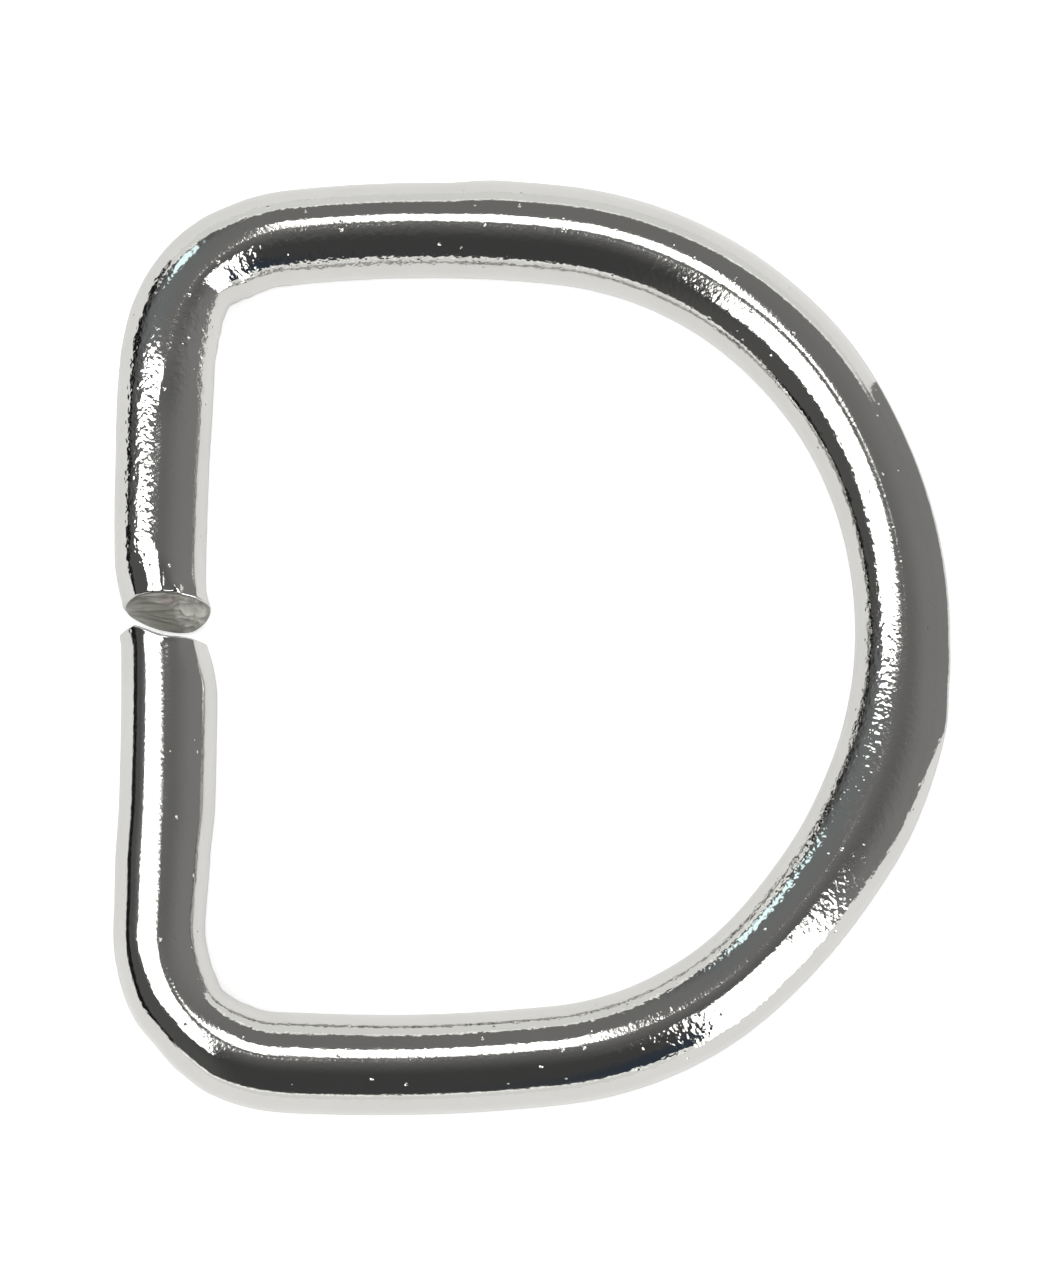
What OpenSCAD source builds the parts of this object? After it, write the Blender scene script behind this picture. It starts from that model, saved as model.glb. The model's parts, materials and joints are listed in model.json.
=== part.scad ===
// D ring bent from one length of round steel wire.
// It lies flat on its side: the bar runs along Y on the -X side, the bow swells towards +X, and the
// underside is at z = 0. The origin is under the middle of the ring's outline.
// The wire isn't welded: its two sheared ends meet in a butt joint in the bar.

/* [Wire] */
// Diameter of the wire
wire_d = 3.4; // [2.6:0.1:4.2]

/* [Opening] */
// Width of the opening along the bar, which is the width of webbing that the ring takes
inside_width = 25.4; // [22:0.1:30]
// Depth of the opening from the bar to the crown of the bow
inside_depth = 22; // [20:0.1:28]
// Height of the crown of the bow above the middle of the ring, towards the upper arm
crown_rise = 0.4; // [-1:0.1:1]

/* [Bends] */
// Inside radius of the bend between the bar and the upper arm
upper_bend_r = 3.1; // [1.5:0.1:4.5]
// Inside radius of the bend between the bar and the lower arm
lower_bend_r = 2.6; // [1.5:0.1:4.5]
// Radius of the slight curve in each half of the bar
bar_curve_r = 150; // [120:5:250]
// Turn of that curve, in degrees: towards the joint the upper half swings out, the lower half in
bar_curl = 3; // [1:0.5:4]

/* [Butt joint] */
// Height of the joint above the middle of the ring, towards the upper arm
joint_rise = 0.5; // [-3:0.1:3]
// Gap between the two ends at the underside of the wire
joint_gap = 0.35; // [0.1:0.05:1]
// Slant of the upper end's sheared face, in degrees, which turns the face upwards
upper_slant = 20; // [0:1:35]
// Slant of the lower end's sheared face, in degrees
lower_slant = 2; // [0:1:10]
// Turn of both sheared faces away from square, in degrees, seen from above
shear_skew = 11; // [0:1:20]

/* [Hidden] */
$fn = 96;

wire_r = wire_d / 2;
bar_to_crown = inside_depth + wire_d;
half_width = (inside_width + wire_d) / 2;
// Neighbouring bends overlap by a millionth of a degree, so that rounding leaves no slit between them
lap = 0.000001;
// The start of a bend is counted on from a full turn, which keeps it well away from zero
FULL_TURN = 360;

// The centre line of each half is followed from the bar to the crown, with the lower half mirrored.
// A heading is the direction of travel in degrees: along the bar at BAR, along the arm at 0, and at
// CROWN the two halves meet.
BAR = 90;
CROWN = -90;
ARM_OUT = -6;
UPPER_ARM_IN = 6;
LOWER_ARM_IN = 3;

// The bow's arcs, from the arm to the crown. Columns: radius as a share of the radius at the crown,
// heading at the end of the arc.
SHARE = 0;
ENDS_AT = 1;
UPPER_BOW = [[0.87, -61], [1, CROWN]];
LOWER_BOW = [[0.775, -44], [1.325, -56], [1, CROWN]];

// Radii are held to a thousandth of a millimetre
function fine(size) = round(size * 1000) / 1000;
function sum(list, i = 0) = i < len(list) ? list[i] + sum(list, i + 1) : 0;
function bow_start(bow, i) = i == 0 ? ARM_OUT : bow[i - 1][ENDS_AT];

// How far the bow runs along X and drops across it, for a radius of 1 at the crown
function bow_run(bow) = sum([for (i = [0:len(bow) - 1])
    bow[i][SHARE] * (sin(bow_start(bow, i)) - sin(bow[i][ENDS_AT]))]);
function bow_drop(bow) = sum([for (i = [0:len(bow) - 1])
    bow[i][SHARE] * (cos(bow_start(bow, i)) - cos(bow[i][ENDS_AT]))]);

// The radii of the arm and of the crown that make a half as long and as wide as it has to be
function arm_and_crown(run, width, arm_in, bow) =
    let (
        arm_run = sin(arm_in) - sin(ARM_OUT),
        arm_drop = 1 - cos(ARM_OUT),
        both = arm_run * bow_drop(bow) - arm_drop * bow_run(bow)
    )
    [(run * bow_drop(bow) - width * bow_run(bow)) / both, (width * arm_run - run * arm_drop) / both];

// All the bends of a half, from the bar to the crown. Columns: radius of the centre line, heading at
// the start, heading at the end. The first bend starts at bar_heading, inset from the bar's line.
RADIUS = 0;
FROM = 1;
TO = 2;
function bends(bar_heading, inset, bend_r, arm_in, width, bow) =
    let (
        corner_r = bend_r + wire_r,
        run = bar_to_crown - inset - corner_r * (sin(bar_heading) - sin(arm_in)),
        radii = arm_and_crown(run, width, arm_in, bow)
    )
    concat(
        [[corner_r, bar_heading, arm_in], [fine(radii[0]), arm_in, ARM_OUT]],
        [for (i = [0:len(bow) - 1])
            [fine(radii[1] * bow[i][SHARE]), bow_start(bow, i), bow[i][ENDS_AT]]]
    );

// The upper half of the bar has swung inwards by the time it reaches its bend
upper_inset = bar_curve_r * (1 - cos(bar_curl));
upper_width = half_width - crown_rise;
lower_width = half_width + crown_rise;
UPPER = bends(BAR - bar_curl, upper_inset, upper_bend_r, UPPER_ARM_IN, upper_width, UPPER_BOW);
LOWER = bends(BAR + bar_curl, 0, lower_bend_r, LOWER_ARM_IN, lower_width, LOWER_BOW);

// From a point on the centre line to the centre of a bend that turns towards the arms
function to_centre(radius, heading) = radius * [sin(heading), -cos(heading)];
function centre(half, i) = end_of(half, i) + to_centre(half[i][RADIUS], half[i][TO]);
function start_of(half, i) = centre(half, i) - to_centre(half[i][RADIUS], half[i][FROM]);
// Where bend i ends and the next one starts, measured from the crown
function end_of(half, i) = i == len(half) - 1 ? [0, 0] : start_of(half, i + 1);

// Two moves in a row, the first a round number, put neighbouring bends exactly end to end
module move(place) {
    coarse = [for (p = place) fine(p)];
    rest = place - coarse;
    translate([coarse[0], coarse[1], 0])
        translate([rest[0], rest[1], 0])
            children();
}

// A bend's wire: an arc round the origin, with angles measured from +X
module arc_of_wire(radius, start, turn) {
    rotate_extrude(angle = turn + 2 * lap, start = FULL_TURN + start - lap)
        translate([radius, 0])
            circle(d = wire_d);
}

module half_ring(half) {
    for (i = [0:len(half) - 1])
        move(centre(half, i))
            arc_of_wire(half[i][RADIUS], half[i][TO] + BAR, half[i][FROM] - half[i][TO]);
}

// The bar's two halves run past the joint, by a whole number of degrees, until the shears cut them
function past_joint(half) =
    ceil((start_of(half, 0)[1] + half_width + abs(joint_rise)) / bar_curve_r * 180 / PI);

module upper_bar() {
    move(start_of(UPPER, 0) + to_centre(bar_curve_r, BAR - bar_curl))
        arc_of_wire(bar_curve_r, 2 * BAR - bar_curl, past_joint(UPPER));
}

module lower_bar() {
    move(start_of(LOWER, 0) - to_centre(bar_curve_r, BAR + bar_curl))
        arc_of_wire(bar_curve_r, bar_curl - past_joint(LOWER), past_joint(LOWER));
}

// The block of metal below a sheared face, or beside it. The face passes through the origin, leans
// back by slant from the bottom up, and is turned by skew seen from above.
module sheared_off(slant, skew) {
    block = 2 * inside_width;
    rotate([0, 0, -skew])
        rotate([-slant, 0, 0])
            translate([-block / 2, -block, -block / 2])
                cube(block);
}

// The foot of a sheared face, under the bar's centre line, measured from the crown
module at_joint(side) {
    translate([-bar_to_crown, joint_rise + side * joint_gap / 2 - crown_rise, -wire_r])
        children();
}

module ring_wire() {
    color("silver")
        translate([bar_to_crown / 2, crown_rise, wire_r]) {
            half_ring(UPPER);
            mirror([0, 1, 0])
                half_ring(LOWER);
            difference() {
                upper_bar();
                at_joint(1)
                    sheared_off(upper_slant, shear_skew);
            }
            difference() {
                mirror([0, 1, 0])
                    lower_bar();
                at_joint(-1)
                    rotate([0, 0, 180])
                        sheared_off(lower_slant, shear_skew);
            }
        }
}

ring_wire();
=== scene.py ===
"""A D ring bent from one length of nickel plated wire, lying on a pale table in a small studio.

Sizes are in metres. The ring lies flat, with its bar along Y on the -X side and its bow towards +X.
"""

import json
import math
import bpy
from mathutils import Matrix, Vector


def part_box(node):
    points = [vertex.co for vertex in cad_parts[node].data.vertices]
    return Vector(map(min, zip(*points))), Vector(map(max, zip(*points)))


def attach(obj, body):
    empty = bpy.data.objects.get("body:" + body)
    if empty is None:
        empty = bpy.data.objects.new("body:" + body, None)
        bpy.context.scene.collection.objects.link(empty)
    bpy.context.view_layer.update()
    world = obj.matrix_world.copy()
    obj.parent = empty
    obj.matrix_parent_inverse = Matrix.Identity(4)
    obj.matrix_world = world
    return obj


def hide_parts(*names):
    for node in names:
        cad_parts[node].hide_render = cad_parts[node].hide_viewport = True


bl_info = {
    "name": "Bent wire D ring",
    "version": (1, 0, 0),
    "blender": (4, 5, 0),
    "location": "3D View > Sidebar > D ring",
    "description": "Builds a D ring bent from plated round wire, and the studio that it lies in",
    "category": "Object",
}

import bmesh
import bpy
import numpy as np
from bpy.props import FloatProperty, FloatVectorProperty, PointerProperty
from mathutils import Matrix, Vector, noise

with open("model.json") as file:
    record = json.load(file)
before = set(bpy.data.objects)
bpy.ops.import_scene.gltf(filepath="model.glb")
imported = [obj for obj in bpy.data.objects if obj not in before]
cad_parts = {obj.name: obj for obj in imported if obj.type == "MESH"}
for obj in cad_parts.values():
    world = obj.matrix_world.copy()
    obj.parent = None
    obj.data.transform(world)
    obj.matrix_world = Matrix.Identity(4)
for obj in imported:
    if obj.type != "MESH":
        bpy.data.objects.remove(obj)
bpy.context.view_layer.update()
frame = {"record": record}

MM = 0.001
NODE = "ring_wire"
TENTH = 4  # decimals of a metre that make a tenth of a millimetre

low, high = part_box(NODE)
WIRE_D = round(high.z - low.z, TENTH)
INSIDE_WIDTH = round(high.y - low.y - 2 * WIRE_D, TENTH)
INSIDE_DEPTH = round(high.x - low.x - 2 * WIRE_D, TENTH)
PLATE_COLOUR = frame["record"]["materials"][0]["base_color"]

# Headings of the centre line, in degrees: 90 runs up the bar, 0 runs along the upper arm towards +X and
# -90 is the crown, where the two halves meet. The lower half is the same walk, mirrored.
BAR = 90.0
CROWN = -90.0
ARM_OUT = -6.0
UPPER_ARM_IN = 6.0
LOWER_ARM_IN = 3.0
HALF_TURN = 180.0

# The bow's arcs, from the arm to the crown. Columns: radius as a share of the radius at the crown, and
# heading at the end of the arc.
UPPER_BOW = ((0.87, -61.0), (1.0, CROWN))
LOWER_BOW = ((0.775, -44.0), (1.325, -56.0), (1.0, CROWN))

# The first column of the next three tables is a place: millimetres of wire from the crown, with the
# upper half below zero. Two of them then have a column for each side of the ring.
OUTER = 1
INNER = 2

# How far each side stands proud of the round, in millimetres. The wire is squeezed most in its bends.
OUT_OF_ROUND = (
    (-46.0, -0.02, -0.14), (-43.5, -0.12, -0.12), (-39.5, -0.07, -0.09), (-37.0, -0.03, -0.04),
    (-35.0, -0.07, -0.05), (-34.0, -0.03, -0.14), (-33.3, -0.01, -0.30), (-32.6, 0.00, -0.42),
    (-32.1, 0.00, -0.30), (-31.5, -0.03, -0.15), (-30.5, -0.12, -0.08), (-29.3, -0.14, 0.03),
    (-24.0, -0.12, 0.03), (-22.0, 0.03, 0.02), (-15.0, 0.02, 0.01), (-11.0, 0.00, 0.00),
    (-6.0, -0.10, -0.07), (0.0, -0.08, -0.04), (1.5, -0.02, -0.03), (3.0, 0.11, -0.01),
    (6.0, 0.10, 0.03), (9.0, 0.01, 0.00), (12.5, 0.00, -0.05), (16.0, 0.02, -0.02),
    (24.0, 0.04, 0.00), (29.0, 0.03, 0.04), (31.5, -0.03, -0.02), (32.5, -0.14, -0.11),
    (33.4, -0.22, -0.18), (34.2, -0.14, -0.08), (35.5, -0.16, -0.04), (37.0, -0.12, -0.12),
    (39.0, -0.08, -0.06), (41.0, -0.14, 0.06), (46.0, -0.16, 0.08),
)

# How coarse the bending tool left the plating on each side, from 0 to 1
TOOL_MARKS = (
    (-46.0, 0.02, 0.02), (-43.5, 0.08, 0.02), (-42.0, 0.70, 0.04), (-37.5, 1.00, 0.20),
    (-35.8, 0.80, 0.90), (-34.4, 0.60, 1.00), (-33.4, 0.45, 0.60), (-32.6, 0.40, 0.15),
    (-31.5, 0.35, 0.50), (-27.0, 0.10, 0.45), (-20.0, 0.04, 0.25), (-10.0, 0.02, 0.15),
    (-4.0, 0.04, 0.30), (0.0, 0.15, 0.55), (4.0, 0.30, 0.70), (9.0, 0.40, 0.60),
    (13.0, 0.20, 0.40), (16.5, 0.45, 0.30), (20.0, 0.08, 0.20), (31.0, 0.05, 0.15),
    (34.0, 0.12, 0.25), (37.0, 0.05, 0.10), (46.0, 0.02, 0.04),
)

# The inner side of the bar's top is pressed flatter towards the upper end. The second column is how far
# the flat lies below the round, in millimetres.
PRESSED = ((-46.0, 0.38), (-44.6, 0.30), (-42.5, 0.14), (-38.0, 0.14), (-35.5, 0.0))
PRESSED_ANGLE = 115.0  # the middle of the flat, in degrees round the wire: 0 is outer and 90 is on top
PRESSED_HALF = 70.0  # and how far it reaches to each side


def eased(at, table, column=1):
    """Reads a column of a table between its rows, without kinks at them"""
    rows = np.array([row[0] for row in table])
    values = np.array([row[column] for row in table])
    at = np.clip(at, rows[0], rows[-1])
    after = np.clip(np.searchsorted(rows, at), 1, len(rows) - 1)
    share = (at - rows[after - 1]) / (rows[after] - rows[after - 1])
    share = share * share * (3 - 2 * share)
    return values[after - 1] + share * (values[after] - values[after - 1])


def smooth(x, low_edge, high_edge):
    """0 below the low edge, 1 above the high one, and an even slope between"""
    t = np.clip((x - low_edge) / (high_edge - low_edge), 0, 1)
    return t * t * (3 - 2 * t)


def turned(degrees):
    """Cosine and sine"""
    return math.cos(math.radians(degrees)), math.sin(math.radians(degrees))


def to_centre(radius, heading):
    """From a point on the centre line to the centre of a bend that turns right"""
    c, s = turned(heading)
    return np.array([radius * s, -radius * c])


def arm_and_crown(run, width, arm_in, bow):
    """The radii of the arm and of the crown that make a half as long and as wide as it has to be"""
    starts = [ARM_OUT] + [end for _, end in bow[:-1]]
    bow_run = sum(k * (turned(a)[1] - turned(b)[1]) for (k, b), a in zip(bow, starts))
    bow_drop = sum(k * (turned(a)[0] - turned(b)[0]) for (k, b), a in zip(bow, starts))
    arm_run = turned(arm_in)[1] - turned(ARM_OUT)[1]
    arm_drop = 1 - turned(ARM_OUT)[0]
    both = arm_run * bow_drop - arm_drop * bow_run
    arm = (run * bow_drop - width * bow_run) / both
    crown = (width * arm_run - run * arm_drop) / both
    return arm, crown


def bends(sizes, bar_heading, inset, bend_r, arm_in, width, bow):
    """The bends of a half, from the bar to the crown: radius, heading at the start and at the end"""
    corner_r = bend_r + sizes.wire_d / 2
    run = sizes.inside_depth + sizes.wire_d - inset
    run -= corner_r * (turned(bar_heading)[1] - turned(arm_in)[1])
    arm_r, crown_r = arm_and_crown(run, width, arm_in, bow)
    made = [(corner_r, bar_heading, arm_in), (arm_r, arm_in, ARM_OUT)]
    start = ARM_OUT
    for share, end in bow:
        made.append((crown_r * share, start, end))
        start = end
    return made


class CentreLine:
    """The wire's centre line, walked from the upper end of the bar to the lower, with 0 at the crown"""

    PAST_JOINT = 6.0  # degrees of the bar's curve, more than the bar needs

    def __init__(self, sizes):
        curl = math.degrees(sizes.bar_curl)
        half_width = (sizes.inside_width + sizes.wire_d) / 2
        inset = sizes.bar_curve_r * (1 - turned(curl)[0])
        upper = bends(sizes, BAR - curl, inset, sizes.upper_bend_r, UPPER_ARM_IN,
                      half_width - sizes.crown_rise, UPPER_BOW)
        lower = bends(sizes, BAR + curl, 0, sizes.lower_bend_r, LOWER_ARM_IN,
                      half_width + sizes.crown_rise, LOWER_BOW)
        walk = [(sizes.bar_curve_r, BAR - curl + self.PAST_JOINT, BAR - curl)]
        walk += upper
        walk += [(r, -end - HALF_TURN, -start - HALF_TURN) for r, start, end in reversed(lower)]
        bar_start = -(BAR + curl) - HALF_TURN
        walk.append((-sizes.bar_curve_r, bar_start, bar_start + self.PAST_JOINT))
        crown = np.array([(sizes.inside_depth + sizes.wire_d) / 2, sizes.crown_rise])
        lengths = np.array([math.radians(start - end) * r for r, start, end in walk])
        before_crown = 1 + len(upper)
        self.starts = np.cumsum(lengths) - lengths - lengths[:before_crown].sum()
        self.upper_bar = (self.starts[1], self.starts[0])
        self.lower_bar = (self.starts[-1], self.starts[-1] + lengths[-1])
        self.radii = np.array([r for r, _, _ in walk])
        self.headings = np.array([start for _, start, _ in walk])
        place = crown
        places = []
        for r, start, end in reversed(walk[:before_crown]):
            place = place + to_centre(r, end) - to_centre(r, start)
            places.insert(0, place)
        place = crown
        for r, start, end in walk[before_crown:]:
            places.append(place)
            place = place + to_centre(r, start) - to_centre(r, end)
        self.centres = np.array([p + to_centre(r, h) for p, r, h in zip(places, self.radii, self.headings)])

    def at(self, walked):
        """Points, outward directions and the turn of the wire, for distances from the crown"""
        walked = np.asarray(walked, float)
        i = np.clip(np.searchsorted(self.starts, walked, side="right") - 1, 0, len(self.starts) - 1)
        heading = np.radians(self.headings[i]) - (walked - self.starts[i]) / self.radii[i]
        outward = np.stack([-np.sin(heading), np.cos(heading)], -1)
        return self.centres[i] + outward * self.radii[i][..., None], outward


# Sizes and colours


def a_length(label, text, value, **limits):
    """A length, shown in the scene's unit"""
    return FloatProperty(name=label, description=text, default=value, unit="LENGTH", subtype="DISTANCE",
                         **limits)


def an_angle(label, text, degrees):
    """An angle, shown in degrees"""
    return FloatProperty(name=label, description=text, default=math.radians(degrees), subtype="ANGLE")


def a_colour(label, text, value):
    """A colour, with parts from 0 to 1"""
    return FloatVectorProperty(name=label, description=text, default=value, size=3, min=0, max=1,
                               subtype="COLOR")


class RingSizes(bpy.types.PropertyGroup):
    """The ring's real sizes"""

    wire_d: a_length("Wire", "Diameter of the wire", WIRE_D, min=0.001, precision=5)
    inside_width: a_length("Inside width", "Opening along the bar", INSIDE_WIDTH, min=0.01)
    inside_depth: a_length("Inside depth", "Opening from the bar to the crown", INSIDE_DEPTH, min=0.01)
    crown_rise: a_length("Crown rise", "Height of the crown above the middle", 0.4 * MM)
    upper_bend_r: a_length("Upper bend", "Inside radius between bar and upper arm", 3.1 * MM)
    lower_bend_r: a_length("Lower bend", "Inside radius between bar and lower arm", 2.6 * MM)
    bar_curve_r: a_length("Bar curve", "Radius of the slight curve in the bar", 150 * MM)
    bar_curl: an_angle("Bar curl", "Turn of the curve in each half of the bar", 3)
    joint_rise: a_length("Joint rise", "Height of the joint above the middle", 0.5 * MM)
    joint_gap: a_length("Joint gap", "Gap between the ends at the underside", 0.28 * MM)
    upper_slant: an_angle("Upper slant", "Slant of the upper sheared face", 17.5)
    lower_slant: an_angle("Lower slant", "Slant of the lower sheared face", 0)
    shear_skew: an_angle("Shear skew", "Turn of both faces, seen from above", 13)


class RingFinish(bpy.types.PropertyGroup):
    """The ring's plating and its bare ends"""

    plate: a_colour("Nickel", "Colour of the bright plating", PLATE_COLOUR)
    plate_roughness: FloatProperty(name="Nickel roughness", description="Roughness of the plating",
                                   default=0.07, min=0, max=1, subtype="FACTOR")
    lump_depth: a_length("Lump depth", "Depth of the lumps where the tool worked", 0.034 * MM,
                         min=0, precision=6)
    grain_depth: a_length("Grain depth", "Depth of the fine grain everywhere", 0.0026 * MM,
                          min=0, precision=6)
    pit_depth: a_length("Pit depth", "Depth of the pits in the plating", 0.02 * MM, min=0, precision=6)
    bare: a_colour("Bare steel", "Colour of the sheared ends", (0.36, 0.355, 0.315))
    torn: a_colour("Torn steel", "Colour where the metal tore off", (0.43, 0.43, 0.39))
    stain: a_colour("Stain", "Colour of the brown stain on the end", (0.33, 0.295, 0.28))


class RingStudio(bpy.types.PropertyGroup):
    """The table, the lights and the camera"""

    table: a_colour("Table", "Colour of the table", (0.86, 0.86, 0.86))
    overexposed: FloatProperty(name="Overexposure", default=0.45, min=0,
                               description="Brightness of the table that only the camera sees")
    lean: an_angle("Camera lean", "Lean of the camera from straight above", 7)
    distance: a_length("Camera distance", "From the camera to the ring", 0.4)
    seen_height: a_length("Seen height", "Height of the picture at the ring", 43.75 * MM, precision=5)


# The wire

AROUND = 112  # points round the wire
ALONG = 560  # rows between the two ends
END_ROWS = 64  # rows in each end
END_LENGTH = 4 * MM  # where rows start to lean towards the sheared face
END_CROWDING = 1.6  # how much closer the rows lie towards the face
FACE_RINGS = 47  # rings between the rim of a sheared face and its middle
RING_CROWDING = 0.9  # how much closer they lie towards the rim
PLATED, BARE = 0, 1  # the wire's two materials

# The edge that the blade drew in, or pushed out as a burr. The first column is degrees round the wire,
# with 0 on the outer side and 90 on top. The others are how far the edge is drawn in, and how far from
# the face that starts, in millimetres.
DRAWN = 1
REACH = 2
UPPER_DRAWN = (
    (-180.0, -0.20, 0.9), (-140.0, -0.05, 0.6), (-90.0, 0.04, 0.6), (-50.0, 0.06, 1.0),
    (-20.0, 0.27, 1.6), (0.0, 0.34, 1.7), (35.0, 0.36, 2.0), (60.0, 0.30, 2.2), (80.0, 0.18, 2.0),
    (98.0, 0.04, 1.4), (112.0, 0.00, 0.6), (130.0, 0.00, 0.6), (150.0, -0.08, 0.8),
    (180.0, -0.20, 0.9),
)
LOWER_DRAWN = (
    (-180.0, 0.36, 1.9), (-90.0, 0.12, 0.8), (-40.0, 0.02, 0.4), (0.0, -0.05, 0.6), (14.0, -0.08, 0.6),
    (32.0, -0.08, 0.9), (60.0, -0.04, 1.1), (80.0, 0.00, 1.1), (104.0, 0.02, 1.1), (122.0, 0.14, 1.3),
    (150.0, 0.34, 1.7), (180.0, 0.36, 1.9),
)
DRAWN_CURVE = 1.8  # how sharply the drawn edge turns down
RIM_ROUND = 0.08 * MM  # how far the rim of each face is rounded

# The blade threw up a burr on the upper end
BURR_ANGLE = 118.0  # degrees round the wire
BURR_IN = 0.20 * MM  # from the rim to the top of the burr
BURR_HIGH = 0.10 * MM
BURR_R = 0.18 * MM

# Seen from above, the lower end has lost its outer corner, and its face is hollow
CHIP_FROM = 0.84 * MM  # from the bar's middle to the break
CHIP_SLOPE = 0.75
DIP_DEEP = 0.17 * MM
DIP_AT = 0.15 * MM  # from the bar's middle, towards the inner side
DIP_R = 0.7 * MM

# Seen from the side, the upper end's face is hollow, and it untwists from its bottom edge to its top
HOLLOW_DEEP = 0.07 * MM
UNTWIST = (0.1, 0.6)  # shares of the wire's height between which its turn fades out


class ShearedEnd:
    """One end of the wire: the face that the shear left, and the edge that it drew in"""

    def __init__(self, sizes, upper):
        self.side = 1 if upper else -1
        self.slant = math.tan(sizes.upper_slant if upper else sizes.lower_slant)
        self.skew = math.tan(sizes.shear_skew)
        self.tall = sizes.wire_d
        bar_x = -(sizes.inside_depth + sizes.wire_d) / 2
        self.foot = np.array([bar_x, sizes.joint_rise + self.side * sizes.joint_gap / 2, 0])
        self.drawn = UPPER_DRAWN if upper else LOWER_DRAWN
        # a parabola that is HOLLOW_DEEP deep halfway up
        self.hollow = 4 * HOLLOW_DEEP / self.tall ** 2 if upper else 0.0
        self.upper = upper
        # the face's own axes, taken at half its turn: into the metal, across from the outer side to the
        # inner, and up
        self.into = np.array([self.skew * self.side / 2, self.side, -self.slant])
        self.into /= np.linalg.norm(self.into)
        across = np.array([1.0, 0, 0]) - self.into[0] * self.into
        self.across = across / np.linalg.norm(across)
        self.up = np.cross(self.into, self.across)
        if self.up[2] < 0:
            self.up = -self.up

    def depth(self, points):
        """How deep in the metal each point is"""
        x, y, z = (points - self.foot).T
        if self.upper:
            skew = self.skew * (1 - smooth(z / self.tall, *UNTWIST))
            chip = 0
        else:
            skew = self.skew
            chip = np.maximum(-x - CHIP_FROM, 0) * CHIP_SLOPE
            chip = chip + DIP_DEEP * np.exp(-((x - DIP_AT) / DIP_R) ** 2)
        hollow = self.hollow * z * (self.tall - z)
        return (self.side * (y + x * skew) - z * self.slant - hollow - chip).T


def surface(line, sizes, walked, angle, ends):
    """Points on the wire's skin. walked and angle are arrays of the same shape."""
    centre, outward = line.at(walked)
    from_crown = walked / MM
    c, s = np.cos(angle), np.sin(angle)
    radius = sizes.wire_d / 2
    proud = np.where(c > 0, eased(from_crown, OUT_OF_ROUND, OUTER), eased(from_crown, OUT_OF_ROUND, INNER))
    proud = proud * MM
    off_flat = np.abs((np.degrees(angle) - PRESSED_ANGLE + HALF_TURN) % (2 * HALF_TURN) - HALF_TURN)
    pressed = eased(from_crown, PRESSED) * smooth(1 - off_flat / PRESSED_HALF, 0, 1) * MM
    wide = radius + proud - pressed
    tall = radius - pressed
    for end, cut in ends:
        drawn = eased(np.degrees(angle), end.drawn, DRAWN) * MM
        reach = eased(np.degrees(angle), end.drawn, REACH) * MM
        near = np.clip(1 - np.abs(walked - cut) / reach, 0, 1) ** DRAWN_CURVE
        rim = np.clip(1 - np.abs(walked - cut) / RIM_ROUND, 0, 1)
        lower = drawn * near + RIM_ROUND * (1 - np.sqrt(1 - rim ** 2))
        if end.upper:
            round_burr = radius * (angle - math.radians(BURR_ANGLE)) / BURR_R
            along_burr = (np.abs(walked - cut) - BURR_IN) / BURR_R
            lower = lower - BURR_HIGH * np.exp(-round_burr ** 2 - along_burr ** 2)
        wide = wide - lower
        tall = tall - lower
    x = centre[..., 0] + outward[..., 0] * c * wide
    y = centre[..., 1] + outward[..., 1] * c * wide
    z = radius + s * tall
    return np.stack([x, y, z], -1)


HALVINGS = 48  # steps of the search for a cut, each half as long as the one before


def cut_walk(line, sizes, angle, end):
    """How far from the crown the shear meets the skin, for each angle round the wire"""
    kept_at, lost_at = line.upper_bar if end.upper else line.lower_bar
    inner = np.full_like(angle, kept_at)
    outer = np.full_like(angle, lost_at)
    for _ in range(HALVINGS):
        middle = (inner + outer) / 2
        kept = end.depth(surface(line, sizes, middle, angle, [(end, middle)])) > 0
        inner = np.where(kept, middle, inner)
        outer = np.where(kept, outer, middle)
    return (inner + outer) / 2


FINER = 2.1  # how much finer each further layer of noise is
FADING = 0.9  # and how fast the layers grow weaker


def lumps(points, size, octaves, shift):
    """Even noise between about -1 and 1, with lumps of the given size. A shift gives other lumps."""
    offset = Vector((shift, shift * 0.7, -shift))
    return np.array([
        noise.fractal(Vector(p) / size + offset, FADING, FINER, octaves, noise_basis="PERLIN_NEW")
        for p in points.reshape(-1, 3)
    ]).reshape(points.shape[:-1])


# Marks on the sheared faces, with all lengths in millimetres. Strokes and scratches are drawn out along
# the face where the blade cut it, and layers where the metal tore. Columns: size across, depth, length
# for a width of 1, how far the face's wave bends them, and shift of the noise.
STROKES = (0.40, 0.10, 3.0, 0.1, 11.0)
SCRATCHES = (0.14, 0.012, 5.0, 0.0, 13.0)
LAYERS = (0.17, 0.10, 2.8, 0.35, 17.0)
CRUMB_SIZE = 0.12  # crumbs on the torn part
CRUMB_DEPTH = 0.018
WAVE_SIZE = 0.9  # the slow wave of the whole face
WAVE_DEPTH = 0.05
TORN_STEP = 0.07  # how far the torn part lies below the cut one
SHADED_RELIEF_SPAN = 0.10  # relief over which the painted shade runs from dark in a furrow to bright on a ridge
RELIEF_RIM = 0.12  # share of the face, from the rim in, where the relief begins

# The torn part of each face. Columns: side, 1 for the ring's inner side and -1 for its outer, how much
# its border leans and how much it wanders, and how far from the middle the part begins and is whole.
UPPER_TORN = (1, 0.25, 0.25, 0.25, 0.5)
LOWER_TORN = (-1, 0.0, 0.3, 0.2, 0.6)

# The brown stain on the upper face. Places and radii run towards the ring's inner side, then up.
STAIN_AT = (0.2, 0.75)
STAIN_R = (0.36, 0.6)
STAIN_WANDER = 0.25
STAIN_EDGE = (0.35, 0.75)  # where the stain begins and where it is whole


def streaks(across, up, wave, size, depth, length, bent, shift):
    """Noise drawn out across the face, as heights in millimetres"""
    places = np.stack([across / length, up + bent * wave, 0 * across], -1)
    return lumps(places * MM, size * MM, octaves=2, shift=shift) * depth


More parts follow.
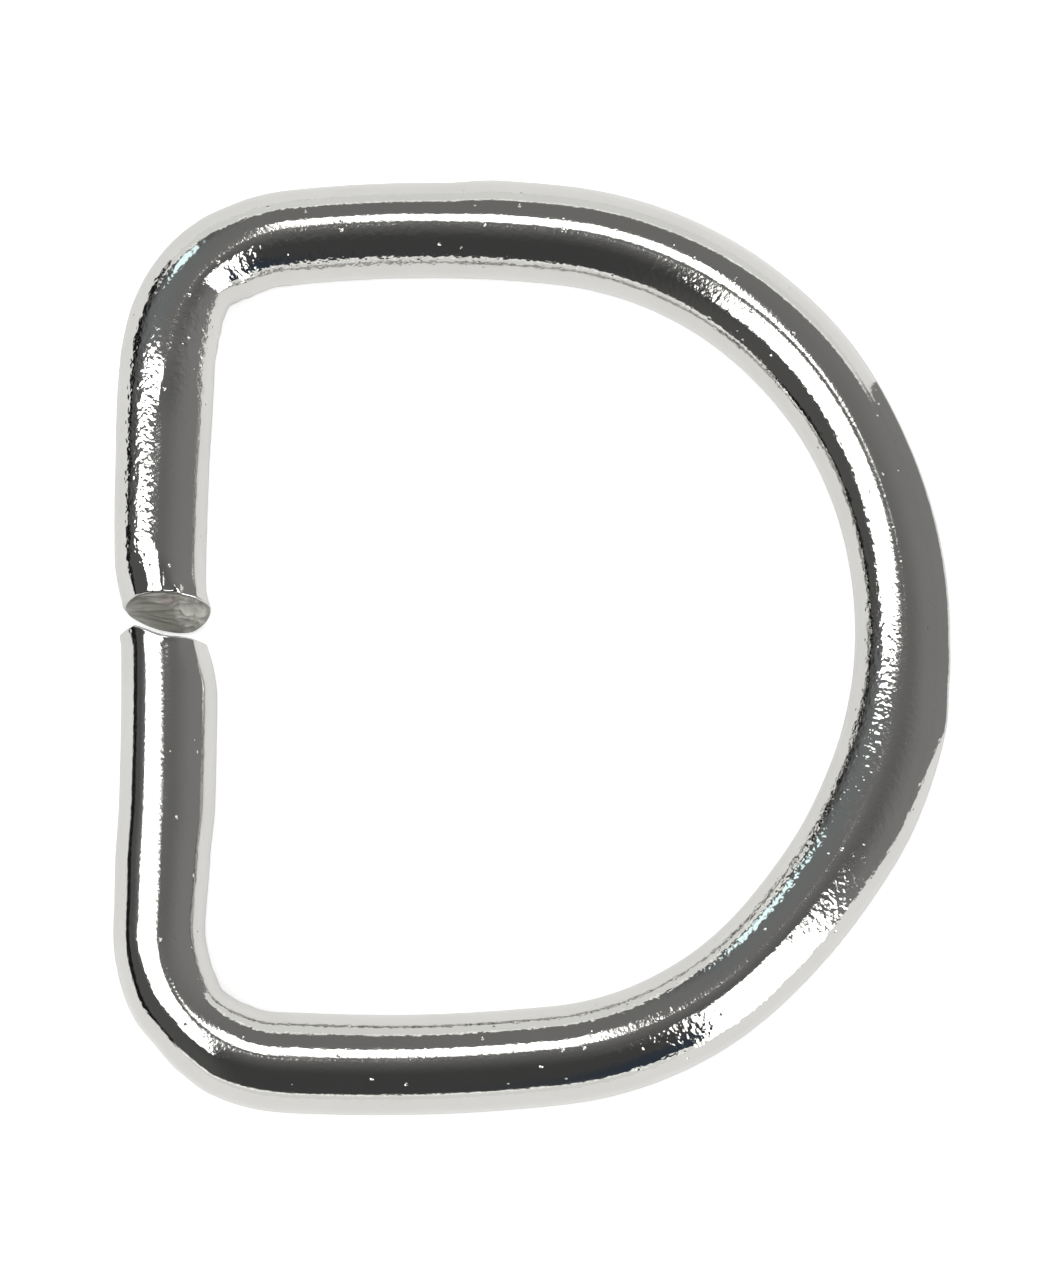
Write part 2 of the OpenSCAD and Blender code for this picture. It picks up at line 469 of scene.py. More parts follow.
def face_relief(end, rim, share):
    """Rings of points on a sheared face, at shares of the way out to its rim, and the marks and the painted
    shade of its relief at each
    """
    centre = rim.mean(0)
    flat = centre + share[:, None, None] * (rim[None] - centre)
    across = (flat - centre) @ end.across / MM
    up = (flat - centre) @ end.up / MM
    wave = lumps(flat, WAVE_SIZE * MM, octaves=2, shift=3.0)
    side, lean, wander, begins, whole = UPPER_TORN if end.upper else LOWER_TORN
    torn = smooth(side * across + lean * up + wander * wave, begins, whole)
    cut_marks = streaks(across, up, wave, *STROKES) + streaks(across, up, wave, *SCRATCHES)
    crumbs = lumps(flat, CRUMB_SIZE * MM, octaves=3, shift=7.0) * CRUMB_DEPTH
    torn_marks = streaks(across, up, wave, *LAYERS) + crumbs
    relief = (1 - torn) * cut_marks + torn * torn_marks + WAVE_DEPTH * wave
    inside = smooth(1 - share, 0.0, RELIEF_RIM)[:, None]
    points = flat - end.into * ((relief - TORN_STEP * torn) * inside * MM)[..., None]
    stain = np.zeros_like(torn)
    if end.upper:
        off = ((across - STAIN_AT[0]) / STAIN_R[0]) ** 2 + ((up - STAIN_AT[1]) / STAIN_R[1]) ** 2
        stain = smooth(np.exp(-off) + STAIN_WANDER * wave, *STAIN_EDGE)
    # painted shade and highlight: the colour is darker in the furrows and lighter on the ridges, by the
    # height of the relief
    painted_ridge_shade = np.clip(0.5 + relief / SHADED_RELIEF_SPAN, 0, 1)
    return points, {"torn": torn, "stain": stain, "painted_ridge_shade": painted_ridge_shade, "tool_marks": np.zeros_like(torn)}


def with_middle(rings):
    """Values of all the rings of a face in one row, and for its middle the mean of the innermost ring"""
    return np.concatenate([rings.reshape(-1, *rings.shape[2:]), rings[-1].mean(0)[None]])


def face_polygons(rim, first, over):
    """Polygons from the numbers of a rim to the middle of its face, whose points count on from first"""
    rings = np.concatenate([rim[None], first + np.arange(FACE_RINGS * AROUND).reshape(-1, AROUND)])
    beside = np.roll(rings, -1, axis=1)
    middle = np.full(AROUND, first + FACE_RINGS * AROUND)
    quads = np.stack([rings[:-1], rings[1:], beside[1:], beside[:-1]], -1).reshape(-1, 4)
    tips = np.stack([rings[-1], middle, beside[-1]], -1)
    if over:
        quads = quads[:, ::-1]
        tips = tips[:, ::-1]
    return quads.tolist() + tips.tolist()


# Ripples from the draw plate and the bending tool, in millimetres
RIPPLE_SIZE = 1.1
RIPPLE_DEPTH = 0.0055
SWELL_SIZE = 5.0
SWELL_DEPTH = 0.006
BELOW_ROUND = 0.012  # keeps them all below the true round
RIPPLE_FADE = 0.25  # from a cut edge to where they are whole
SIDES_MEET = 0.4  # cosine of the angle round the wire up to which a side's tool marks fade out


def row_places(cuts):
    """How far from the crown each point of each row lies. Near a cut, the rows lean as it does."""
    grow = (np.arange(END_ROWS) / END_ROWS) ** END_CROWDING
    first = cuts[0].mean() + END_LENGTH
    last = cuts[1].mean() - END_LENGTH
    rows = [cuts[0] + (first - cuts[0]) * t for t in grow]
    rows += [np.full(AROUND, w) for w in np.linspace(first, last, ALONG)]
    rows += [cuts[1] + (last - cuts[1]) * t for t in grow[::-1]]
    return np.array(rows)


def worked_skin(line, sizes, ends, cuts, walked, angles):
    """The wire's skin with its ripples, its points' places on the straight wire, and its tool marks"""
    c, s = np.cos(angles), np.sin(angles)
    from_crown = walked / MM
    marks = eased(from_crown, TOOL_MARKS, OUTER) * smooth(c, 0.0, SIDES_MEET)
    marks += eased(from_crown, TOOL_MARKS, INNER) * smooth(-c, 0.0, SIDES_MEET)
    radius = sizes.wire_d / 2
    place = np.stack([walked, radius * c, radius * s], -1)
    ripple = lumps(place, RIPPLE_SIZE * MM, octaves=2, shift=1.0)
    swell = lumps(place, SWELL_SIZE * MM, octaves=1, shift=9.0)
    dent = RIPPLE_DEPTH * marks * ripple + SWELL_DEPTH * swell - BELOW_ROUND
    fade = smooth(np.minimum(walked - cuts[0], cuts[1] - walked) / MM, 0.0, RIPPLE_FADE)
    _, outward = line.at(walked)
    radial = np.stack([outward[..., 0] * c, outward[..., 1] * c, s], -1)
    skin = surface(line, sizes, walked, angles, list(zip(ends, cuts)))
    return skin + radial * (dent * fade * MM)[..., None], place, marks


def stored_mesh(points, faces, kinds, marks, places):
    """A mesh with a material for each face, and the marks and places stored at its points"""
    mesh = bpy.data.meshes.new("bent_wire")
    mesh.from_pydata(points.tolist(), [], faces)
    mesh.polygons.foreach_set("material_index", np.array(kinds, dtype=np.int32))
    mesh.polygons.foreach_set("use_smooth", np.ones(len(faces), dtype=bool))
    for name, values in marks.items():
        layer = mesh.attributes.new(name, "FLOAT", "POINT")
        layer.data.foreach_set("value", np.concatenate(values).astype(np.float32))
    layer = mesh.attributes.new("wire_place", "FLOAT_VECTOR", "POINT")
    layer.data.foreach_set("vector", places.astype(np.float32).reshape(-1))
    mesh.update()
    shape = bmesh.new()
    shape.from_mesh(mesh)
    bmesh.ops.recalc_face_normals(shape, faces=shape.faces)
    shape.to_mesh(mesh)
    shape.free()
    return mesh


def wire_mesh(sizes):
    """The whole wire as one closed mesh, with its marks stored at the points"""
    line = CentreLine(sizes)
    angle = np.radians(np.arange(AROUND) * 2 * HALF_TURN / AROUND - HALF_TURN)
    ends = [ShearedEnd(sizes, True), ShearedEnd(sizes, False)]
    cuts = [cut_walk(line, sizes, angle, end) for end in ends]
    walked = row_places(cuts)
    skin, place, tool = worked_skin(line, sizes, ends, cuts, walked, np.broadcast_to(angle, walked.shape))

    grid = np.arange(walked.size).reshape(walked.shape)
    beside = np.roll(grid, -1, axis=1)
    faces = np.stack([grid[:-1], beside[:-1], beside[1:], grid[1:]], -1).reshape(-1, 4).tolist()
    kinds = [PLATED] * len(faces)
    points = [skin.reshape(-1, 3)]
    places = [place.reshape(-1, 3)]
    marks = {name: [np.zeros(walked.size)] for name in ("torn", "stain", "painted_ridge_shade")}
    marks["tool_marks"] = [tool.reshape(-1)]
    share = np.linspace(1, 0, FACE_RINGS + 2)[1:-1] ** RING_CROWDING
    total = walked.size
    for end, row in zip(ends, (0, -1)):
        rings, ring_marks = face_relief(end, skin[row], share)
        polygons = face_polygons(grid[row], total, not end.upper)
        faces += polygons
        kinds += [BARE] * len(polygons)
        points.append(with_middle(rings))
        places.append(points[-1])
        for name, values in ring_marks.items():
            marks[name].append(with_middle(values))
        total += len(points[-1])
    return stored_mesh(np.concatenate(points), faces, kinds, marks, np.concatenate(places))


# Shader nodes


def new_node(tree, kind, at, **settings):
    """Adds a node at a place in the tree, with its settings"""
    node = tree.nodes.new(kind)
    node.location = at
    for name, value in settings.items():
        setattr(node, name, value)
    return node


def maths(tree, operation, a, b, at, c=None):
    """The result of a sum. Each of a, b and c is an output, a number or None."""
    node = new_node(tree, "ShaderNodeMath", at, operation=operation)
    for value, socket in zip((a, b, c), node.inputs):
        if isinstance(value, (int, float)):
            socket.default_value = value
        elif value is not None:
            tree.links.new(value, socket)
    return node.outputs[0]


def ranged(tree, value, to, at, span=(0.0, 1.0), slope="LINEAR"):
    """Maps a value from a span to another one"""
    node = new_node(tree, "ShaderNodeMapRange", at, interpolation_type=slope)
    ends = (("From Min", span[0]), ("From Max", span[1]), ("To Min", to[0]), ("To Max", to[1]))
    for label, number in ends:
        node.inputs[label].default_value = number
    tree.links.new(value, node.inputs["Value"])
    return node.outputs[0]


def step(tree, value, start, whole, at):
    """0 before the start and 1 beyond whole, which may lie on either side of it, with a soft slope"""
    if start > whole:
        return ranged(tree, value, (1.0, 0.0), at, (whole, start), "SMOOTHSTEP")
    return ranged(tree, value, (0.0, 1.0), at, (start, whole), "SMOOTHSTEP")


def mixed(tree, factor, a, b, at, blend="MIX"):
    """Mixes two colours, each an output or three numbers, by a factor that is an output or a number"""
    node = new_node(tree, "ShaderNodeMix", at, data_type="RGBA", blend_type=blend)
    for label, value in (("Factor", factor), ("A", a), ("B", b)):
        if isinstance(value, bpy.types.NodeSocket):
            tree.links.new(value, node.inputs[label])
        elif isinstance(value, float):
            node.inputs[label].default_value = value
        else:
            node.inputs[label].default_value = (*value, 1)
    return node.outputs["Result"]


def stored(tree, name, at):
    """Values stored at the points of the mesh"""
    return new_node(tree, "ShaderNodeAttribute", at, attribute_name=name).outputs["Fac"]


# Finishes

# The worked steel grain of the plate and of the sheared faces. A pit's radius is a share of the spacing,
# and the pit share says how many of the places for a pit have one.
NICKEL_GRAIN = {"Lump size": 0.21 * MM, "Grain size": 0.11 * MM, "Pit spacing": 0.38 * MM,
                "Pit radius": 0.22, "Pit share": 0.14}
SHEARED_GRAIN = {"Lump size": 0.2 * MM, "Grain size": 0.06 * MM, "Pit spacing": 0.15 * MM,
                 "Pit radius": 0.2, "Pit share": 0.3}
CLOUD_SIZE = 2.2 * MM

# The nickel plate
QUIET_LUMPS = 0.025  # share of the lump depth that is left where no tool touched the wire
CLOUD_TONE = 0.9  # brightness of the plate inside a cloud
CLOUD_GLOSS = (0.7, 1.3)  # roughness outside a cloud and inside it, as shares of the plate's
CLOUD_SPAN = (0.3, 0.7)  # and the values of the cloud between which it changes

# The sheared faces
BARE_METALLIC = 0.15  # a grey skin of dirt and tears hides most of the metal
BARE_CLOUD = (0.8, 1.2)  # brightness outside a cloud and inside it
PAINTED_RELIEF_SHADE = (0.7, 1.3)  # painted shade in the furrows and painted highlight on the ridges, as shares of the colour
CUT_ROUGHNESS = 0.42
TORN_ROUGHNESS = 0.6
BARE_LUMPS = 0.012  # depths in millimetres
BARE_GRAIN = 0.006
BARE_PITS = 0.008


def steel_grain_group():
    """Worked steel that shows through thin plating: lumps, a finer grain, pits and a slow cloud"""
    name = "Worked steel grain"
    if name in bpy.data.node_groups:
        return bpy.data.node_groups[name]
    group = bpy.data.node_groups.new(name, "ShaderNodeTree")
    face = group.interface
    face.new_socket("Place", in_out="INPUT", socket_type="NodeSocketVector")
    for label, value in NICKEL_GRAIN.items():
        face.new_socket(label, in_out="INPUT", socket_type="NodeSocketFloat").default_value = value
    for label in ("Lumps", "Grain", "Pits", "Cloud"):
        face.new_socket(label, in_out="OUTPUT", socket_type="NodeSocketFloat")
    inp = new_node(group, "NodeGroupInput", (-900, 0))
    out = new_node(group, "NodeGroupOutput", (700, 0))
    link = group.links.new

    def per_size(label, at):
        return maths(group, "DIVIDE", 1.0, inp.outputs[label], at)

    def lumpy(label, at, detail):
        node = new_node(group, "ShaderNodeTexNoise", at, noise_dimensions="3D")
        node.inputs["Detail"].default_value = detail
        link(inp.outputs["Place"], node.inputs["Vector"])
        link(per_size(label, (at[0] - 200, at[1])), node.inputs["Scale"])
        return node.outputs["Fac"]

    link(lumpy("Lump size", (-400, 400), 1.0), out.inputs["Lumps"])
    link(lumpy("Grain size", (-400, 150), 2.0), out.inputs["Grain"])
    cells = new_node(group, "ShaderNodeTexVoronoi", (-400, -100), feature="F1")
    link(inp.outputs["Place"], cells.inputs["Vector"])
    link(per_size("Pit spacing", (-600, -100)), cells.inputs["Scale"])
    hole = new_node(group, "ShaderNodeMapRange", (-150, -50), interpolation_type="SMOOTHSTEP")
    hole.inputs["To Min"].default_value = 1.0
    hole.inputs["To Max"].default_value = 0.0
    link(cells.outputs["Distance"], hole.inputs["Value"])
    link(inp.outputs["Pit radius"], hole.inputs["From Max"])
    chance = new_node(group, "ShaderNodeSeparateColor", (-150, -250))
    link(cells.outputs["Color"], chance.inputs[0])
    holed = maths(group, "LESS_THAN", chance.outputs[0], inp.outputs["Pit share"], (50, -250))
    link(maths(group, "MULTIPLY", hole.outputs[0], holed, (250, -100)), out.inputs["Pits"])
    cloud = new_node(group, "ShaderNodeTexNoise", (-400, -450), noise_dimensions="3D")
    cloud.inputs["Scale"].default_value = 1 / CLOUD_SIZE
    cloud.inputs["Detail"].default_value = 3.0
    link(inp.outputs["Place"], cloud.inputs["Vector"])
    link(cloud.outputs["Fac"], out.inputs["Cloud"])
    return group


def start_material(name, grain_sizes):
    """A material with its shader, and the worked steel grain in the sizes given"""
    material = bpy.data.materials.new(name)
    material.use_nodes = True
    tree = material.node_tree
    tree.nodes.clear()
    shader = new_node(tree, "ShaderNodeBsdfPrincipled", (500, 0))
    out = new_node(tree, "ShaderNodeOutputMaterial", (800, 0))
    tree.links.new(shader.outputs[0], out.inputs["Surface"])
    grain = new_node(tree, "ShaderNodeGroup", (-500, 0))
    grain.node_tree = steel_grain_group()
    place = new_node(tree, "ShaderNodeAttribute", (-700, 0), attribute_name="wire_place")
    tree.links.new(place.outputs["Vector"], grain.inputs["Place"])
    for label, value in grain_sizes.items():
        grain.inputs[label].default_value = value
    return material, tree, shader, grain.outputs


def add_relief(tree, shader, parts):
    """Bumps the shader by a sum of heights. Each part is an output and its depth in millimetres, a
    number or another output."""
    total = None
    for i, (output, depth) in enumerate(parts):
        at = (-300 + 160 * i, -400 - 160 * i)
        total = maths(tree, "MULTIPLY_ADD" if total else "MULTIPLY", output, depth, at, total)
    bump = new_node(tree, "ShaderNodeBump", (250, -200))
    bump.inputs["Strength"].default_value = 1.0
    bump.inputs["Distance"].default_value = MM
    tree.links.new(total, bump.inputs["Height"])
    tree.links.new(bump.outputs[0], shader.inputs["Normal"])


def nickel(finish):
    """Bright nickel plate over drawn steel, lumpy where the bending tool worked it"""
    material, tree, shader, grain = start_material("Nickel plate", NICKEL_GRAIN)
    shader.inputs["Metallic"].default_value = 1.0
    deepest = finish.lump_depth / MM
    lump_depth = ranged(tree, stored(tree, "tool_marks", (-700, -300)), (deepest * QUIET_LUMPS, deepest),
                        (-500, -300))
    add_relief(tree, shader, ((grain["Grain"], finish.grain_depth / MM),
                              (grain["Pits"], -finish.pit_depth / MM),
                              (grain["Lumps"], lump_depth)))
    in_cloud = [c * CLOUD_TONE for c in finish.plate]
    tone = mixed(tree, grain["Cloud"], finish.plate, in_cloud, (100, 200))
    tree.links.new(tone, shader.inputs["Base Color"])
    dull = ranged(tree, grain["Cloud"], [finish.plate_roughness * share for share in CLOUD_GLOSS],
                  (100, 0), CLOUD_SPAN)
    tree.links.new(dull, shader.inputs["Roughness"])
    return material


def bare_end(finish):
    """Sheared steel: dull where the blade cut, paler and rough where the metal tore, with a stain"""
    material, tree, shader, grain = start_material("Sheared steel", SHEARED_GRAIN)
    shader.inputs["Metallic"].default_value = BARE_METALLIC
    torn = stored(tree, "torn", (-500, -300))
    base = mixed(tree, torn, finish.bare, finish.torn, (-200, 300))
    base = mixed(tree, stored(tree, "stain", (-200, 600)), base, finish.stain, (0, 300))
    clouded = ranged(tree, grain["Cloud"], BARE_CLOUD, (0, 100))
    base = mixed(tree, 1.0, base, clouded, (150, 300), "MULTIPLY")
    # painted shade darkens the furrows and painted highlight brightens the ridges
    relief_shaded = ranged(tree, stored(tree, "painted_ridge_shade", (0, 600)), PAINTED_RELIEF_SHADE, (150, 600))
    base = mixed(tree, 1.0, base, relief_shaded, (300, 300), "MULTIPLY")
    tree.links.new(base, shader.inputs["Base Color"])
    rough = ranged(tree, torn, (CUT_ROUGHNESS, TORN_ROUGHNESS), (50, -100))
    tree.links.new(rough, shader.inputs["Roughness"])
    add_relief(tree, shader, ((grain["Lumps"], BARE_LUMPS),
                              (grain["Grain"], BARE_GRAIN),
                              (grain["Pits"], -BARE_PITS)))
    return material


class DRING_OT_wire(bpy.types.Operator):
    """Bends the plated wire into the ring and shears its two ends"""

    bl_idname = "d_ring.wire"
    bl_label = "Bent wire"

    def execute(self, context):
        scene = context.scene
        mesh = wire_mesh(scene.ring_sizes)
        wire = bpy.data.objects.new("bent_wire", mesh)
        scene.collection.objects.link(wire)
        mesh.materials.append(nickel(scene.ring_finish))
        mesh.materials.append(bare_end(scene.ring_finish))
        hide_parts(NODE)
        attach(wire, "root")
        return {"FINISHED"}


# The studio

# Soft boxes, each a long panel. Columns: name, its two ends, its width, the turn about its long side
# and its brightness. An end is a direction in the picture, an angle from the camera and a distance.
SOFT_BOXES = (
    ("Back box", (82, 17.2, 2.1), (86, 34.3, 0.85), 0.25, -5, 3.2),
    ("Left box", (192, 11.6, 1.08), (165, 55.7, 3.0), 0.80, 27, 3.2),
    ("Right box", (-8, 12, 2.0), (-46, 95.7, 0.56), 0.23, -13, 3.2),
)

# The overhead fill, a disk that shows in no reflection
FILL_BRIGHTNESS = 1.95
FILL_D = 3.0
FILL_HEIGHT = 3.0


def camera_axes(lean):
    """Directions from the ring: to the camera, right and up in the picture"""
    toward = Vector((0, -math.sin(lean), math.cos(lean)))
    return toward, Vector((1, 0, 0)), Vector((0, math.cos(lean), math.sin(lean)))


def aim(lean, direction, tilt):
    """From the ring, so many degrees away from the camera in a direction of the picture"""
    toward, right, up = camera_axes(lean)
    across = right * turned(direction)[0] + up * turned(direction)[1]
    return toward * turned(tilt)[0] + across * turned(tilt)[1]


def soft_box(name, one_end, other_end, width, twist, brightness, lean):
    """A panel of light from one end to the other, facing the ring but for its twist"""
    a, b = (aim(lean, direction, tilt) * distance for direction, tilt, distance in (one_end, other_end))
    middle = (a + b) / 2
    along = (b - a).normalized()
    z_axis = (middle - along * middle.dot(along)).normalized()
    z_axis = Matrix.Rotation(-math.radians(twist), 3, along) @ z_axis
    y_axis = z_axis.cross(along)
    light = bpy.data.lights.new(name, "AREA")
    light.shape = "RECTANGLE"
    light.size = (b - a).length
    light.size_y = width
    light.energy = brightness * math.pi * light.size * light.size_y
    box = bpy.data.objects.new(name, light)
    box.matrix_world = Matrix((along, y_axis, z_axis)).transposed().to_4x4()
    box.location = middle
    box.visible_camera = False
    bpy.context.scene.collection.objects.link(box)


def overhead_fill(scene):
    """A wide, soft light from above, for the table and the dull steel alone"""
    light = bpy.data.lights.new("Overhead fill", "AREA")
    light.shape = "DISK"
    light.size = FILL_D
    light.energy = FILL_BRIGHTNESS * math.pi * math.pi * (FILL_D / 2) ** 2
    box = bpy.data.objects.new("Overhead fill", light)
    box.location = (0, 0, FILL_HEIGHT)
    box.visible_camera = False
    box.visible_glossy = False
    scene.collection.objects.link(box)


# The room, as seen from the ring: X runs to the right, Y to the back and Z up, each from -1 to 1. Each
# wall covers those before it. Columns: name, axis, where it begins and where it is whole, and colour.
FRONT_WALL = (0.062, 0.062, 0.064)
WALLS = (
    ("Back wall", "Y", -0.5, 0.35, (0.20, 0.20, 0.20)),
    ("Left wall", "X", -0.25, -0.6, (0.10, 0.10, 0.10)),
    ("Right wall", "X", 0.25, 1.0, (0.25, 0.25, 0.255)),
)
DARK_CORNER = (0.01, 0.01, 0.012)  # low on the left
DARK_CORNER_X = (-0.55, -0.85)
DARK_CORNER_Z = (0.16, 0.08)

# Patches on the walls. Columns: name, direction in the picture, angle from the camera, half-size and
# softness of the edge in degrees, and colour.
WALL_PATCHES = (
    ("Cool wall", 145, 50, 34, 26, (0.195, 0.21, 0.215)),
    ("Blue curtain", -62, 62, 25, 20, (0.036, 0.048, 0.066)),
    ("Small window", 131, 68, 8, 3, (1.2, 1.5, 1.55)),
)

# The pale sheet under the ring, in the same axes as the room
SHEET_BACK = 0.48  # how high it swings up at the back
SHEET_FRONT = 0.225  # and at the front
SHEET_TURN = 0.05  # how far to the back and the front of the ring the one swing turns into the other
SHEET_HALF = 0.79  # how far it reaches to the sides
SHEET_SOFT = 0.02  # and the softness of its sides
SHEET_TOP = (-0.03, 0.0)  # where its upper edge begins and is whole, counted down from the swing
SHEET_HEM = (0.02, 0.06)  # and where the bright hem along that edge fades out
SHEET_COLOUR = (0.90, 0.91, 0.91)
HEM_COLOUR = (1.35, 1.35, 1.33)
SEEN_ROOM = (1.02, 1.02, 1.02)  # for the camera, the room is as pale as the table


def studio_walls(scene, lean):
    """A dim room with the pale sheet's swing in it"""
    world = bpy.data.worlds.new("Studio walls")
    scene.world = world
    world.use_nodes = True
    tree = world.node_tree
    tree.nodes.clear()
    link = tree.links.new
    place = new_node(tree, "ShaderNodeTexCoord", (-1400, 0)).outputs["Generated"]
    parts = new_node(tree, "ShaderNodeSeparateXYZ", (-1200, 0))
    link(place, parts.inputs[0])
    x, y, z = parts.outputs

    room = FRONT_WALL
    for i, (_, axis, begins, whole, colour) in enumerate(WALLS):
        wall = step(tree, parts.outputs[axis], begins, whole, (-1000 + 100 * i, 400 + 160 * i))
        room = mixed(tree, wall, room, colour, (-800 + 100 * i, 300))
    corner = maths(tree, "MULTIPLY", step(tree, x, *DARK_CORNER_X, (-800, 900)),
                   step(tree, z, *DARK_CORNER_Z, (-800, 1060)), (-600, 900))
    room = mixed(tree, corner, room, DARK_CORNER, (-450, 400))
    for i, (_, direction, tilt, half, edge, colour) in enumerate(WALL_PATCHES):
        near = new_node(tree, "ShaderNodeVectorMath", (-1000, -200 - 160 * i), operation="DOT_PRODUCT")
        near.inputs[1].default_value = aim(lean, direction, tilt)
        link(place, near.inputs[0])
        patch = step(tree, near.outputs["Value"], turned(half)[0], turned(max(half - edge, 0))[0],
                     (-800, -200 - 160 * i))
        room = mixed(tree, patch, room, colour, (-300 + 150 * i, 300))

    swing = maths(tree, "MULTIPLY_ADD", step(tree, y, -SHEET_TURN, SHEET_TURN, (-1150, 0)),
                  SHEET_BACK - SHEET_FRONT, (-1000, 0), SHEET_FRONT)
    swing = maths(tree, "MULTIPLY", maths(tree, "MULTIPLY", y, y, (-1000, -100)), swing, (-850, 0))
    below = maths(tree, "SUBTRACT", swing, z, (-700, 0))
    aside = maths(tree, "ABSOLUTE", x, None, (-1000, 150))
    within = step(tree, aside, SHEET_HALF + SHEET_SOFT, SHEET_HALF - SHEET_SOFT, (-850, 150))
    covers = maths(tree, "MULTIPLY", step(tree, below, *SHEET_TOP, (-550, 0)), within, (-400, 0))
    sheet = mixed(tree, step(tree, below, *SHEET_HEM, (-550, -150)), HEM_COLOUR, SHEET_COLOUR, (-400, -150))
    walls = mixed(tree, covers, room, sheet, (200, 100))
    seen = new_node(tree, "ShaderNodeLightPath", (200, 400))
    walls = mixed(tree, seen.outputs["Is Camera Ray"], walls, SEEN_ROOM, (400, 100))
    back = new_node(tree, "ShaderNodeBackground", (600, 0))
    link(walls, back.inputs["Color"])
    out = new_node(tree, "ShaderNodeOutputWorld", (800, 0))
    link(back.outputs[0], out.inputs["Surface"])


# Cards that lie on the table beside the ring and show only in its reflections. Columns: name, paint, its
# shade of grey, and the directions seen from the middle of the bow between which the card lies, with how
# near it comes there, in millimetres. It runs on to CARD_REACH.
CARDS = (
    ("right_card", "Grey card", 0.22, ((35, 16.5), (-12, 16.5), (-20, 26), (-30, 42))),
    ("left_card", "Black card", 0.01, ((212, 46), (180, 42), (135, 46))),
)
CARD_REACH = 1.5
CARD_THICK = 0.1 * MM
CARD_STEPS = 12  # from one of the directions to the next
BOW_MIDDLE = (-0.8 * MM, 0.4 * MM)


def flat_card(name, corners, paint):
    """A flat fan of card, with its near edge along the given corners"""
    near = []
    for (turn, r), (next_turn, next_r) in zip(corners, corners[1:]):
        for i in range(CARD_STEPS):
            share = i / CARD_STEPS
            near.append((turn + (next_turn - turn) * share, r + (next_r - r) * share))
    near.append(corners[-1])
    points = []
    faces = []
    for i, (degrees, r) in enumerate(near):
        c, s = turned(degrees)
        for reach in (r * MM, CARD_REACH):
            points.append((BOW_MIDDLE[0] + reach * c, BOW_MIDDLE[1] + reach * s, CARD_THICK))
        if i:
            faces.append((2 * i - 2, 2 * i, 2 * i + 1, 2 * i - 1))
    mesh = bpy.data.meshes.new(name)
    mesh.from_pydata(points, [], faces)
    mesh.materials.append(paint)
    card = bpy.data.objects.new(name, mesh)
    bpy.context.scene.collection.objects.link(card)
    card.visible_camera = card.visible_diffuse = card.visible_shadow = False


MATT_ROUGHNESS = 0.9


def matt(name, colour, shown=0.0):
    """Matt paint. What is shown adds brightness for the camera alone, as an overexposed picture does."""
    paint = bpy.data.materials.new(name)
    paint.use_nodes = True
    tree = paint.node_tree
    shader = tree.nodes["Principled BSDF"]
    shader.inputs["Base Color"].default_value = (*colour, 1)
    shader.inputs["Roughness"].default_value = MATT_ROUGHNESS
    shader.inputs["Specular IOR Level"].default_value = 0.0
    if shown:
        seen = new_node(tree, "ShaderNodeLightPath", (-600, -200))
        glow = mixed(tree, seen.outputs["Is Camera Ray"], (0, 0, 0), (shown, shown, shown), (-300, -200))
        tree.links.new(glow, shader.inputs["Emission Color"])
        shader.inputs["Emission Strength"].default_value = 1.0
    return paint


TABLE_HALF = 4.0
SENSOR_WIDTH = 36  # millimetres
CLIP_START = 0.01
CLIP_END = 20
AIMED_AT = (-0.04 * MM, 0.165 * MM)  # the middle of the picture


def table_top(scene, studio):
    """The pale table, with its top at z = 0"""
    mesh = bpy.data.meshes.new("table_top")
    corners = [(x * TABLE_HALF, y * TABLE_HALF, 0) for x, y in ((-1, -1), (1, -1), (1, 1), (-1, 1))]
    mesh.from_pydata(corners, [], [(0, 1, 2, 3)])
    mesh.materials.append(matt("Pale table", studio.table, studio.overexposed))
    table = bpy.data.objects.new("table_top", mesh)
    scene.collection.objects.link(table)


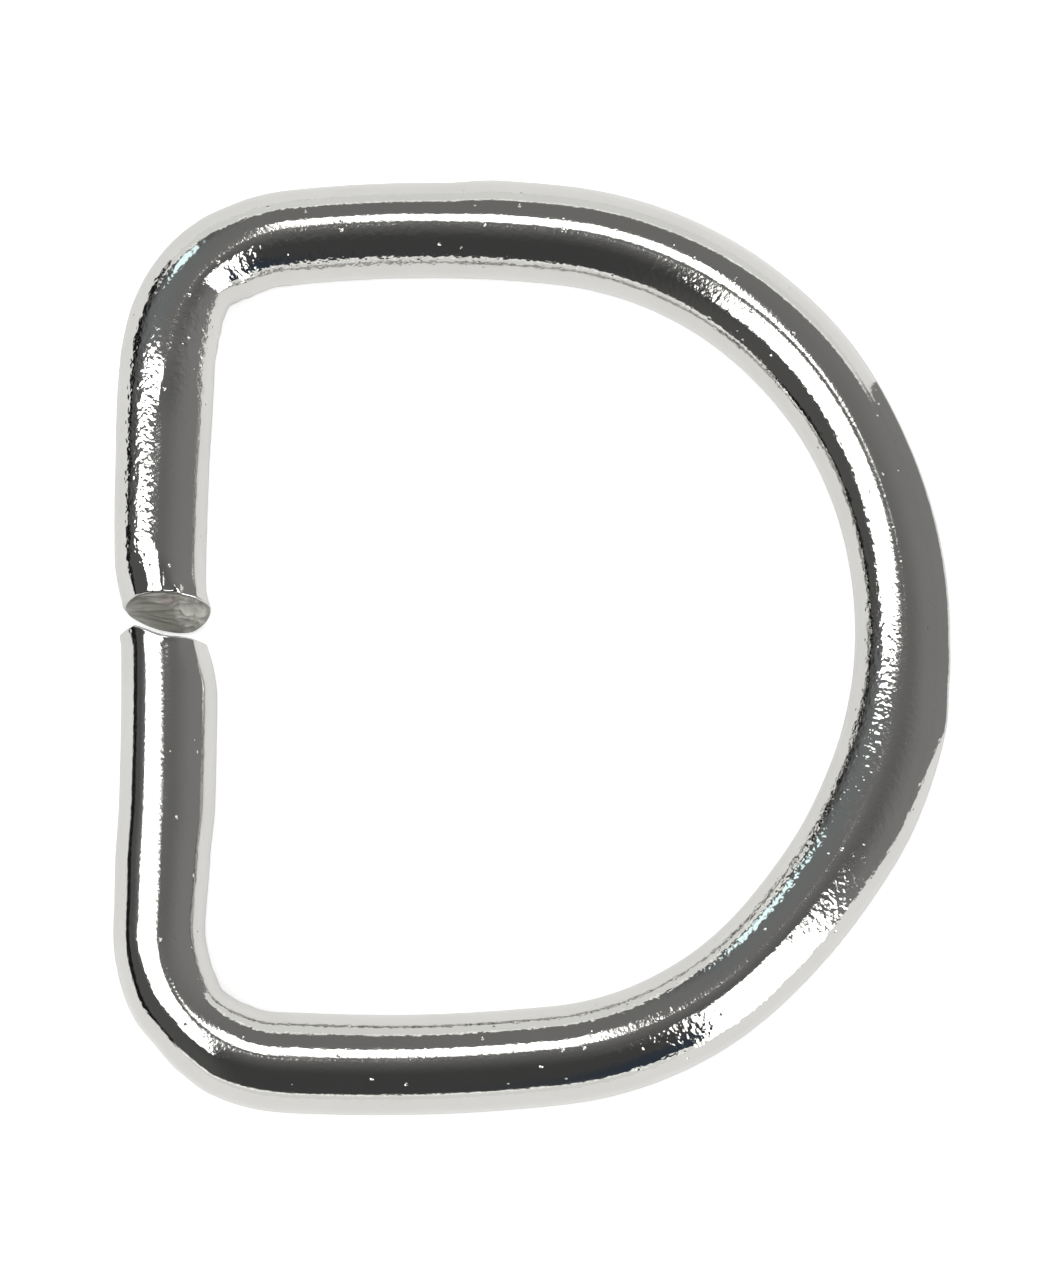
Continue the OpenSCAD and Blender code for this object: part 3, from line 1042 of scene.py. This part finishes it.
def place_camera(scene, studio):
    """The camera, aimed at the ring from its lean"""
    lens = bpy.data.cameras.new("Camera")
    camera = bpy.data.objects.new("Camera", lens)
    scene.collection.objects.link(camera)
    toward, _, _ = camera_axes(studio.lean)
    target = Vector((*AIMED_AT, scene.ring_sizes.wire_d / 2))
    camera.location = target + toward * studio.distance
    camera.rotation_euler = (-toward).to_track_quat("-Z", "Y").to_euler()
    lens.sensor_width = SENSOR_WIDTH
    lens.lens = lens.sensor_width * studio.distance / studio.seen_height
    lens.clip_start = CLIP_START
    lens.clip_end = CLIP_END
    scene.camera = camera


class DRING_OT_studio(bpy.types.Operator):
    """Sets out the table, the walls, the soft boxes and the camera"""

    bl_idname = "d_ring.studio"
    bl_label = "Studio"

    def execute(self, context):
        scene = context.scene
        studio = scene.ring_studio
        table_top(scene, studio)
        studio_walls(scene, studio.lean)
        for name, paint, grey, corners in CARDS:
            flat_card(name, corners, matt(paint, (grey, grey, grey)))
        for box in SOFT_BOXES:
            soft_box(*box, studio.lean)
        overhead_fill(scene)
        place_camera(scene, studio)
        scene.view_settings.view_transform = "Standard"
        return {"FINISHED"}


class DRING_PT_panel(bpy.types.Panel):
    """Lists the pieces and the sizes that they are built from"""

    bl_label = "D ring"
    bl_idname = "DRING_PT_panel"
    bl_space_type = "VIEW_3D"
    bl_region_type = "UI"
    bl_category = "D ring"

    def draw(self, context):
        column = self.layout.column()
        column.operator(DRING_OT_studio.bl_idname)
        column.operator(DRING_OT_wire.bl_idname)
        for group in (context.scene.ring_sizes, context.scene.ring_finish, context.scene.ring_studio):
            column.separator()
            for name in group.bl_rna.properties.keys():
                if name not in ("rna_type", "name"):
                    column.prop(group, name)


CLASSES = (RingSizes, RingFinish, RingStudio, DRING_OT_wire, DRING_OT_studio, DRING_PT_panel)


def register():
    for cls in CLASSES:
        bpy.utils.register_class(cls)
    bpy.types.Scene.ring_sizes = PointerProperty(type=RingSizes)
    bpy.types.Scene.ring_finish = PointerProperty(type=RingFinish)
    bpy.types.Scene.ring_studio = PointerProperty(type=RingStudio)


def unregister():
    del bpy.types.Scene.ring_studio
    del bpy.types.Scene.ring_finish
    del bpy.types.Scene.ring_sizes
    for cls in reversed(CLASSES):
        bpy.utils.unregister_class(cls)


def main():
    """Sets out the studio and bends the wire"""
    register()
    bpy.ops.d_ring.studio()
    bpy.ops.d_ring.wire()


if __name__ == "__main__":
    main()
